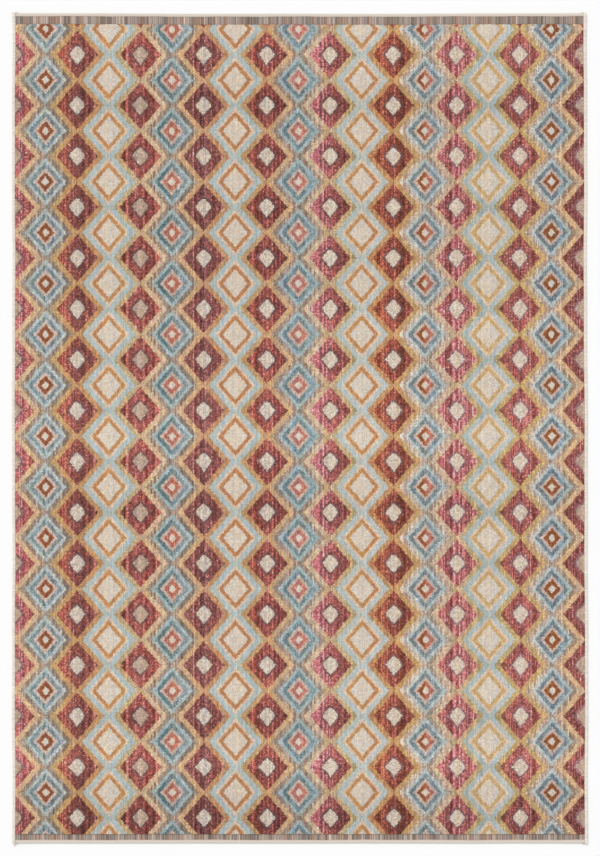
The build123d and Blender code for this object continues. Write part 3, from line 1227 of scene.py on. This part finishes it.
@dataclass
class FlatEnd:
    """A strip at an end where the pile yarns are woven in flat: a warp is a stripe, a pick a cross rib."""

    node: str
    seed: int
    rib: float = 1.6 * MM
    warp: float = 1.57 * MM
    rib_depth: float = 0.22 * MM
    lift: float = 0.02 * MM
    lanes: int = 8
    stripe: float = 0.3
    bundle: float = 11.13 * MM
    bundles: int = 36

    def build(self, material: Material) -> Piece:
        """Make the strip.

        Its height is a rib a pick long, a rounded sine along the rug, shifted half a rib on alternate warps.

        Args:
            material: its finish.

        Returns:
            The piece.
        """
        low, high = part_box(self.node)
        rng = np.random.default_rng(self.seed)
        across = round((high.x - low.x) / self.warp) // self.lanes * self.lanes
        along = 2 * round((high.y - low.y) / self.rib)
        x = np.linspace(low.x, high.x, across + 1)
        y = np.linspace(low.y, high.y, along + 1)
        grid_x, grid_y = np.meshgrid(x, y)
        shifted = grid_y / self.rib + 0.5 * (np.arange(across + 1) % 2)
        z = high.z - self.rib_depth * (1 - np.abs(np.cos(pi * shifted)))
        points, faces = slab(grid_x, grid_y, low.z + self.lift, z)
        table = np.array([linear(dye.value) for dye in HEADER_DYES])
        order = np.random.default_rng(SEED).integers(len(table), size=self.bundles)
        bundle = ((x[:-1] - low.x) / self.bundle).astype(int) % self.bundles
        dyes = table[order[bundle]]
        stripe = np.exp(self.stripe * np.clip(rng.standard_normal((across, 1)), -2, 2))
        colours = np.clip(dyes * stripe / np.exp(self.stripe**2 / 2), 0, 0.9)
        speckle = 1 + 0.05 * rng.standard_normal((along, across, 1))
        upper = (colours[None] * speckle).reshape(-1, 3)
        rim = np.broadcast_to(colours.mean(axis=0), (len(faces) - 2 * len(upper), 3))
        uvs = self.map_uvs(points[faces[len(upper) :]], across, along)
        piece = make_piece(
            self.node + "_woven", points, faces, material, np.concatenate([upper, upper, rim]), uvs
        )
        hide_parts(self.node)
        return piece

    def map_uvs(self, hidden: Array, across: int, along: int) -> Array:
        """Lay the upper face out on the map in lanes, and the hidden faces in the narrow gap under them.

        Args:
            hidden: corners of the lower face and the walls, n by 4 by 3.
            across: warps in the strip.
            along: steps along it.

        Returns:
            Places on the map, one a face corner.
        """
        lanes = strip_uvs(across, along, self.lanes).reshape(across, along, 4, 2)
        upper = lanes.transpose(1, 0, 2, 3)[:, :, [0, 3, 2, 1]].reshape(-1, 4, 2)
        low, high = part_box(self.node)
        flat = (hidden[..., :2] - [low.x, low.y]) / [high.x - low.x, high.y - low.y]
        return np.concatenate([upper, flat * [1.0, HIDDEN_WIDTH] + [0.0, HIDDEN_FROM]])


# ---------------------------------------------------------------- the serged sides


@dataclass
class SergedSide:
    """A side edge: a cotton cord, and edging yarn wound round it and the selvedge in close slanting turns."""

    side: str
    seed: int
    turn_pitch: float = 3.2 * MM
    samples_a_turn: int = 4
    around: int = 18
    ridge: float = 0.42 * MM
    squareness: float = 0.6
    swell: float = 0.12 * MM
    shade: float = 0.05
    # The share by which painted shade darkens the yarn's colour in the hollows between turns.
    hollow_shade: float = 0.28
    closing: float = 3 * MM
    lanes: int = 16
    cord_rings: int = 1201
    cord_sides: int = 9
    cord_ply: float = 14 * MM

    def build(self) -> list[Piece]:
        """Make the wound yarn and the cord inside it.

        The section is a rounded box, a superellipse, swollen by |sin| ridges that follow a helix of one turn
        each pitch; each turn has its own slight swell and tone, with painted shade in the hollows between turns.
        The last few millimetres close to a point.

        Returns:
            The pieces.
        """
        low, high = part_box(f"{self.side}_serging")
        rng = np.random.default_rng(self.seed)
        turns = int((high.y - low.y) / self.turn_pitch)
        rows = turns * self.samples_a_turn // self.lanes * self.lanes
        y = np.linspace(low.y, high.y, rows + 1)[:, None]
        turn = (2 * pi * np.arange(self.around) / self.around)[None]
        phase = (y - low.y) / self.turn_pitch + turn / (2 * pi)
        number = np.clip(np.floor(phase).astype(int), 0, turns + 1)
        swell = self.swell * rng.standard_normal(turns + 2)
        hollow = 1 - np.abs(np.sin(pi * phase))
        to_end = np.minimum(y - low.y, high.y - y)
        closing = np.sqrt(1 - np.clip(1 - to_end / self.closing, 0, 1) ** 2)
        half_width, half_height = (high.x - low.x) / 2, (high.z - low.z) / 2
        c, s = np.cos(turn), np.sin(turn)
        wide = np.sign(c) * np.abs(c) ** self.squareness
        tall = np.sign(s) * np.abs(s) ** self.squareness
        reach = swell[number] - self.ridge * hollow
        x = (high.x + low.x) / 2 + wide * (half_width + reach) * closing
        z = (high.z + low.z) / 2 + tall * (half_height + reach) * closing
        z = np.maximum(z, 0.05 * MM)
        points = np.stack([x, np.broadcast_to(y, x.shape), z], axis=-1).reshape(-1, 3)
        faces = grid_faces(rows + 1, self.around, closed=True)[:, ::-1]
        # Each turn gets a random tone, and painted shade darkens the colour towards the hollows between turns.
        shade = 1 + self.shade * rng.standard_normal(turns + 2)
        middle = (hollow[1:] + hollow[:-1]) / 2
        tone_and_painted_shade = (shade[number[:-1]] * (1 - self.hollow_shade * middle)).reshape(-1, 1)
        colours = np.clip(np.array(linear(Dye.SERGING.value))[None] * tone_and_painted_shade, 0, BRIGHTEST)
        uvs = strip_uvs(rows, self.around, self.lanes)[:, ::-1]
        wound = make_piece(
            f"{self.side}_serging_wound", points, faces, SERGING_YARN.build(), colours, uvs
        )
        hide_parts(f"{self.side}_serging")
        return [wound, self.cord()]

    def cord(self) -> Piece:
        """Make the cord: a tube whose radius has three ridges that twist along it.

        Returns:
            The piece.
        """
        low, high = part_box(f"{self.side}_edge_cord")
        y = np.linspace(low.y, high.y, self.cord_rings)
        centres = np.stack(
            [np.full_like(y, (low.x + high.x) / 2), y, np.full_like(y, (low.z + high.z) / 2)], axis=-1
        )
        turn = 2 * pi * np.arange(self.cord_sides)[None] / self.cord_sides
        radius = (high.x - low.x) / 2
        radii = radius * (0.93 + 0.07 * np.cos(3 * (turn + 2 * pi * y[:, None] / self.cord_ply)))
        points, faces = tube(centres, radii, self.cord_sides)
        piece = make_piece(f"{self.side}_edge_cord_twisted", points, faces, COTTON_CORD.build())
        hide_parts(f"{self.side}_edge_cord")
        return piece


# ---------------------------------------------------------------- the bound ends


@dataclass
class BoundEnd:
    """An end of the rug: a folded cotton tape over the flat weave, and the lockstitch that holds it."""

    end: str
    sign: int
    seed: int
    stitch: float = 4.0 * MM
    step: float = 1.0 * MM
    pucker: float = 0.3 * MM
    thickness: float = 0.9 * MM
    crease: float = 1.1 * MM
    slack: float = 0.12 * MM
    upper_from: float = 2 * MM
    thread: float = 0.33 * MM
    hole: float = 0.55 * MM
    lanes: int = 8

    def profile(self) -> Array:
        """Give the tape's closed section: its outside from lower to upper inner edge, then its inside back.

        The outside is two straight runs joined by a half superellipse, and a turned-down lip. The inside is
        the same line held a thickness in from the lower, outer and upper limits.

        Returns:
            Points (distance out from the inner edge, height), n by 2, an outside point and an inside one in
            opposite places.
        """
        low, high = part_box(f"{self.end}_binding")
        width, height = high.y - low.y, high.z
        bottom = np.array([[0.0, 0.9 * MM], [0.0, 0.1 * MM], [0.35 * width, 0.05 * MM]])
        turn = np.linspace(-pi / 2, pi / 2, 11)
        round_x = 0.6 * width + 0.4 * width * np.cos(turn) ** 0.7
        round_z = height / 2 + height / 2 * np.sign(np.sin(turn)) * np.abs(np.sin(turn)) ** 0.8
        fold = np.stack([round_x, np.maximum(round_z, 0.05 * MM)], axis=-1)
        out = np.linspace(0.45 * width, 0.03 * width, 7)
        top = np.stack([out, np.full_like(out, height)], axis=-1)
        lip = np.array([[0.0, height - 0.25 * MM], [0.0, height - 1.0 * MM]])
        outside = np.concatenate([bottom, fold, top, lip])
        inside = np.stack(
            [
                np.clip(outside[:, 0], 0.15 * MM, width - self.thickness),
                np.clip(outside[:, 1], self.thickness, height - self.thickness),
            ],
            axis=-1,
        )
        return np.concatenate([outside, inside[::-1]])

    def end_caps(self, rows: int, around: int) -> Array:
        """Give the quads that close the tape's two cut ends, each between outside and inside points.

        Args:
            rows: number of steps along the tape.
            around: points in its section.

        Returns:
            Quads, n by 4.
        """
        i = np.arange(around // 2 - 1)
        first = np.stack([i, around - 1 - i, around - 2 - i, i + 1], axis=-1)
        return np.concatenate([first, first[:, ::-1] + rows * around])

    def build(self) -> list[Piece]:
        """Make the tape and its seam thread.

        Returns:
            The pieces.
        """
        low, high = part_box(f"{self.end}_binding")
        rng = np.random.default_rng(self.seed)
        profile = self.profile()
        rows = round((high.x - low.x) / self.step) // self.lanes * self.lanes
        x = np.linspace(low.x, high.x, rows + 1)
        seam_low, seam_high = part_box(f"{self.end}_seam")
        seam_y = (seam_low.y + seam_high.y) / 2
        inner = low.y if self.sign > 0 else high.y
        y = inner + self.sign * profile[:, 0]
        upper = (profile[:, 1] > self.upper_from)[None]
        drift = 0.35 * MM * np.sin(2 * pi * x / 0.21 + self.seed) + 0.2 * MM * np.sin(2 * pi * x / 0.083)
        is_inner = np.clip(1 - profile[:, 0] / (high.y - low.y), 0, 1)[None]
        grid_y = y[None] + drift[:, None] * is_inner * upper
        dent = np.exp(-(((y - seam_y) / self.crease) ** 2))[None] * upper
        beat = 0.6 + 0.4 * np.cos(2 * pi * x / self.stitch)[:, None]
        slack = self.slack * rng.standard_normal(len(x))
        smooth = np.convolve(slack, np.ones(9) / 9, mode="same")[:, None]
        grid_z = profile[:, 1][None] - self.pucker * dent * beat + smooth * upper
        grid_x = np.broadcast_to(x[:, None], grid_z.shape)
        points = np.stack([grid_x, grid_y, grid_z], axis=-1).reshape(-1, 3)
        caps = self.end_caps(rows, len(profile))
        cap_uvs = (points[caps][..., 1:] - [low.y, 0.0]) / [high.y - low.y, high.z]
        cap_uvs = cap_uvs * HIDDEN_WIDTH + HIDDEN_FROM
        faces = np.concatenate([grid_faces(rows + 1, len(profile), closed=True), caps])
        uvs = np.concatenate([strip_uvs(rows, len(profile), self.lanes), cap_uvs])
        if self.sign < 0:
            faces, uvs = faces[:, ::-1], uvs[:, ::-1]
        tape = make_piece(f"{self.end}_binding_tape", points, faces, BINDING_TAPE.build(), None, uvs)
        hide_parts(f"{self.end}_binding")
        return [tape, self.seam(low.x, high.x, seam_y, high.z)]

    def seam(self, left: float, right: float, y: float, height: float) -> Piece:
        """Make the seam thread: a tube that rises in a low arch over each stitch and dips into each hole.

        Args:
            left: where the seam begins.
            right: where it ends.
            y: its line.
            height: the tape's upper face.

        Returns:
            The piece.
        """
        count = round((right - left) / self.stitch)
        x = np.linspace(left, right, 6 * count + 1)
        dip = np.abs(np.cos(pi * (x - left) / self.stitch)) ** 6
        z = height + 0.02 * MM - self.hole * dip
        centres = np.stack([x, np.full_like(x, y), z], axis=-1)
        points, faces = tube(centres, np.full(len(x), self.thread), 6)
        piece = make_piece(f"{self.end}_seam_thread", points, faces, SEWING_THREAD.build())
        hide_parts(f"{self.end}_seam")
        return piece


# ---------------------------------------------------------------- corners, tail and label


@dataclass
class Corners:
    """The closing stitches at the four corners, and the tail of edging yarn left at one of them."""

    loops: int = 4
    loop_gap: float = 1.5 * MM
    thread: float = 0.45 * MM
    tail_drift: float = 2.0 * MM
    tail_radii: tuple[float, float] = (1.9 * MM, 0.5 * MM)
    tail_end_height: float = 0.9 * MM

    def tacks(self) -> Piece:
        """Make the stitches: at each corner a few short loops from the tape's top, round its edge, to below.

        Returns:
            The piece.
        """
        _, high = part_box("corner_tacks")
        _, binding_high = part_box("head_binding")
        loops = []
        turn = np.linspace(-0.42 * pi, 0.5 * pi, 12)
        for side in (-1, 1):
            for end in (-1, 1):
                for number in range(self.loops):
                    x = side * (high.x - 0.4 * MM - number * self.loop_gap)
                    out = high.y - 3.4 * MM + 3.2 * MM * np.cos(turn) ** 0.5
                    z = binding_high.z / 2 + (binding_high.z / 2 + 0.15 * MM) * np.sin(turn)
                    lean = np.linspace(-0.7, 0.7, len(turn)) * MM
                    centres = np.stack([x + lean, end * out, z], axis=-1)
                    loops.append(tube(centres, np.full(len(turn), self.thread), 6))
        piece = make_piece("corner_closing_stitches", *join(loops), SEWING_THREAD.build())
        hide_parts("corner_tacks")
        return piece

    def tail(self) -> Piece:
        """Make the tail: a tapering two-ply yarn that leaves the serging's end and sinks to the floor.

        Returns:
            The piece.
        """
        low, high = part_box("serging_tail")
        t = np.linspace(0, 1, 25)
        start = high.y + 2.0 * MM
        x = (low.x + high.x) / 2 + self.tail_drift * t**1.5
        y = start - (start - low.y) * t
        z = (low.z + high.z) / 2 * (1 - t) + self.tail_end_height * t
        sides = 8
        turn = 2 * pi * np.arange(sides)[None] / sides
        radius = self.tail_radii[0] * (1 - t) + self.tail_radii[1] * t
        radii = radius[:, None] * (0.85 + 0.15 * np.abs(np.cos(turn + 5 * t[:, None])))
        points, faces = tube(np.stack([x, y, z], axis=-1), radii, sides)
        colour = np.broadcast_to(0.97 * np.array(linear(Dye.SERGING.value)), (len(faces), 3))
        piece = make_piece("serging_yarn_tail", points, faces, SERGING_YARN.build(), colour)
        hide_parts("serging_tail")
        return piece


@dataclass
class Label:
    """The blank satin label under the foot corner, with a bar of stitches at each end."""

    underside: float = 0.12 * MM
    thickness: float = 0.12 * MM
    wave: float = 0.06 * MM
    stitch: float = 2.5 * MM
    thread_radius: float = 0.07 * MM
    thread_height: float = 0.09 * MM
    thread_rise: float = 0.05 * MM

    def build(self) -> list[Piece]:
        """Make the label, a thin sheet with a slight wave, and its stitches.

        Returns:
            The pieces.
        """
        low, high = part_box("care_label")
        x = np.linspace(low.x, high.x, 41)
        y = np.linspace(low.y, high.y, 25)
        grid_x, grid_y = np.meshgrid(x, y)
        lift = self.wave * np.sin(9 * grid_x / (high.x - low.x)) * np.sin(7 * grid_y / (high.y - low.y))
        lower = self.underside + lift
        sheet = slab(grid_x, grid_y, lower, lower + self.thickness)
        label = make_piece("care_label_blank", *sheet, SATIN_LABEL.build())
        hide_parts("care_label")
        return [label, self.stitches()]

    def stitches(self) -> Piece:
        """Make the two bars of stitches, each a thread that dips at every stitch.

        Returns:
            The piece.
        """
        low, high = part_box("label_stitches")
        y = np.linspace(low.y, high.y, 61)
        z = self.thread_height + self.thread_rise * np.abs(np.cos(pi * (y - low.y) / self.stitch)) ** 4
        radii = np.full(len(y), self.thread_radius)
        bars = [tube(np.stack([np.full_like(y, x), y, z], axis=-1), radii, 5) for x in (low.x, high.x)]
        piece = make_piece("label_stitch_bars", *join(bars), SEWING_THREAD.build())
        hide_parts("label_stitches")
        return piece


# ---------------------------------------------------------------- the sheets underneath


def slab(grid_x: Array, grid_y: Array, bottom: Array | float, top: Array | float) -> tuple[Array, Array]:
    """Make a closed slab over a grid: its upper face, its lower face and the walls between their rims.

    Args:
        grid_x: places across, rows by columns.
        grid_y: places along.
        bottom: height of the lower face.
        top: height of the upper face.

    Returns:
        The points and the quads.
    """
    rows, columns = grid_x.shape
    count = rows * columns
    upper = np.stack([grid_x, grid_y, np.broadcast_to(top, grid_x.shape)], axis=-1).reshape(-1, 3)
    lower = np.stack([grid_x, grid_y, np.broadcast_to(bottom, grid_x.shape)], axis=-1).reshape(-1, 3)
    faces = grid_faces(rows, columns, closed=False)
    number = np.arange(count).reshape(rows, columns)
    rim = np.concatenate([number[0], number[1:, -1], number[-1, -2::-1], number[-2:0:-1, 0]])
    after = np.roll(rim, -1)
    walls = np.stack([rim + count, after + count, after, rim], axis=-1)
    return np.concatenate([upper, lower]), np.concatenate([faces, faces[:, ::-1] + count, walls])


@dataclass
class BaseSheets:
    """The ground weave that holds every tuft, and the latex coat under it."""

    ground_step: float = 20.0 * MM

    def build(self) -> tuple[Piece, Piece]:
        """Make both sheets.

        Returns:
            The ground weave and the latex coat.
        """
        made = []
        for name, node, slot, finish, sunk in (
            ("ground_weave_cloth", "ground_weave", "ground_yarn", GROUND_CLOTH, 0.0),
            ("latex_backing_coat", "latex_backing", "latex", LATEX_COAT, 0.3 * MM),
        ):
            low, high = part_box(node)
            x = np.linspace(low.x, high.x, round((high.x - low.x) / self.ground_step) + 1)
            y = np.linspace(low.y, high.y, round((high.y - low.y) / self.ground_step) + 1)
            grid_x, grid_y = np.meshgrid(x, y)
            points, faces = slab(grid_x, grid_y, low.z + sunk, high.z)
            piece = make_piece(name, points, faces, finish.build(), smooth=False)
            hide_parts(node)
            made.append(piece)
        return made[0], made[1]


# ---------------------------------------------------------------- the studio


@dataclass
class Studio:
    """A pale floor, soft light from above with one side a little stronger, and a camera straight overhead."""

    frame_height: float = 2.381
    rug_top: float = 0.006
    lens: float = 100.0
    sensor: float = 36.0
    floor_half: float = 12.0
    sky_strength: float = 0.72
    sun_strength: float = 1.25
    sun_width_deg: float = 25.0
    sun_turn_deg: tuple[float, float, float] = (-38.0, -22.0, 0.0)

    def floor(self) -> None:
        """Lay the floor just under the rug."""
        half = self.floor_half
        mesh = bpy.data.meshes.new("studio_floor")
        corners = [(-half, -half, 0.0), (half, -half, 0.0), (half, half, 0.0), (-half, half, 0.0)]
        mesh.from_pydata(corners, [], [(0, 1, 2, 3)])
        mesh.materials.append(PALE_FLOOR.build())
        floor = bpy.data.objects.new("studio_floor", mesh)
        bpy.context.scene.collection.objects.link(floor)

    def light(self) -> None:
        """Light the set: an even sky and a broad soft sun."""
        world = bpy.data.worlds.new("studio_sky")
        world.use_nodes = True
        background = world.node_tree.nodes["Background"]
        background.inputs["Color"].default_value = (1.0, 1.0, 1.0, 1.0)
        background.inputs["Strength"].default_value = self.sky_strength
        bpy.context.scene.world = world
        lamp = bpy.data.lights.new("soft_sun", "SUN")
        lamp.energy = self.sun_strength
        lamp.angle = radians(self.sun_width_deg)
        sun = bpy.data.objects.new("soft_sun", lamp)
        sun.rotation_euler = tuple(radians(turn) for turn in self.sun_turn_deg)
        bpy.context.scene.collection.objects.link(sun)
        bpy.context.scene.view_settings.view_transform = "Standard"

    def camera(self) -> None:
        """Hang the camera over the middle of the rug, far enough for the frame to take it all in."""
        data = bpy.data.cameras.new("overhead_camera")
        data.lens = self.lens
        data.sensor_width = self.sensor
        data.clip_end = 100.0
        camera = bpy.data.objects.new("overhead_camera", data)
        camera.location = (0.0007, 0.0, self.rug_top + self.frame_height * self.lens / self.sensor)
        bpy.context.scene.collection.objects.link(camera)
        bpy.context.scene.camera = camera


# ---------------------------------------------------------------- the whole rug


def build_rug() -> None:
    gold_low, gold_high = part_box("pile_gold")
    pile = Pile(
        left=gold_low.x,
        right=gold_high.x,
        foot=gold_low.y,
        head=gold_high.y,
        bottom=gold_low.z,
        top=gold_high.z,
    )
    pieces = pile.build()
    flat_yarn = FLAT_YARN.build()
    pieces.append(FlatEnd("head_flat_end", SEED + 1).build(flat_yarn))
    pieces.append(FlatEnd("foot_flat_end", SEED + 2).build(flat_yarn))
    pieces += SergedSide("left", SEED + 3).build()
    pieces += SergedSide("right", SEED + 4).build()
    pieces += BoundEnd("head", 1, SEED + 5).build()
    pieces += BoundEnd("foot", -1, SEED + 6).build()
    corners = Corners()
    pieces += [corners.tacks(), corners.tail()]
    pieces += Label().build()
    ground, latex = BaseSheets().build()
    pieces.append(latex)
    for piece in [ground, *pieces]:
        log.info("%s: %d faces", piece.name, len(piece.data.polygons))
    studio = Studio()
    studio.floor()
    studio.light()
    studio.camera()


if __name__ == "__main__":
    logging.basicConfig(level=logging.INFO)
    build_rug()
